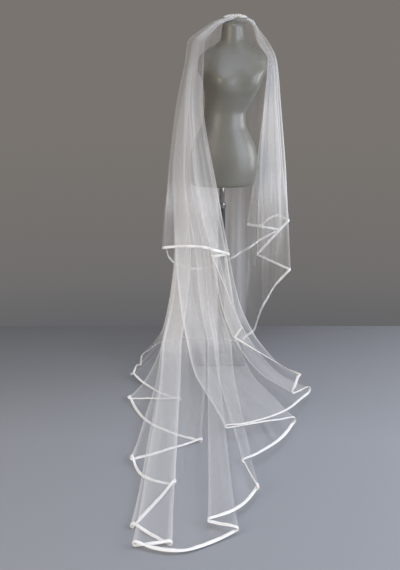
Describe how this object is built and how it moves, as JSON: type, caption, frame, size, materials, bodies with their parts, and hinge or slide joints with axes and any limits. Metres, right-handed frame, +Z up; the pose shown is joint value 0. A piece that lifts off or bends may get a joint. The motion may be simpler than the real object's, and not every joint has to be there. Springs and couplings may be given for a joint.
{
  "type": "bridal veil on a dress form",
  "caption": "Two-tier drop veil of sheer tulle with a satin edge and long train, hung from a gathered band over a limbless dress form on a pole stand.",
  "frame": {"origin": "centre of the pole stand's base plate, on the floor", "axes": "+X to the viewer's right as the form faces the viewer, +Y away from the viewer, +Z up; the train runs out along -Y"},
  "size_m": [0.7955, 1.9059, 1.6326],
  "materials": {
    "tulle": "sheer soft net",
    "ribbon": "satin",
    "form_plastic": "glossy",
    "chrome": "polished",
    "dark_tube": "satin",
    "steel": "satin"
  },
  "bodies": {
    "root": {"gather_band": "tulle", "short_tier_front": "tulle", "short_tier_back": "tulle", "right_cascade": "tulle", "long_tier_back": "tulle", "train_left_side": "tulle", "train_left": "tulle", "train_middle": "tulle", "train_right": "tulle", "train_right_side": "tulle", "left_cascade": "tulle", "short_tier_front_ribbon": "ribbon", "short_tier_back_ribbon": "ribbon", "right_cascade_ribbon": "ribbon", "long_tier_back_ribbon": "ribbon", "train_left_side_ribbon": "ribbon", "train_left_ribbon": "ribbon", "train_middle_ribbon": "ribbon", "train_right_ribbon": "ribbon", "train_right_side_ribbon": "ribbon", "left_cascade_ribbon": "ribbon", "dress_form": "form_plastic", "upper_tube": "chrome", "collar": "chrome", "lower_tube": "dark_tube", "base_plate": "steel"}
  },
  "joints": []
}
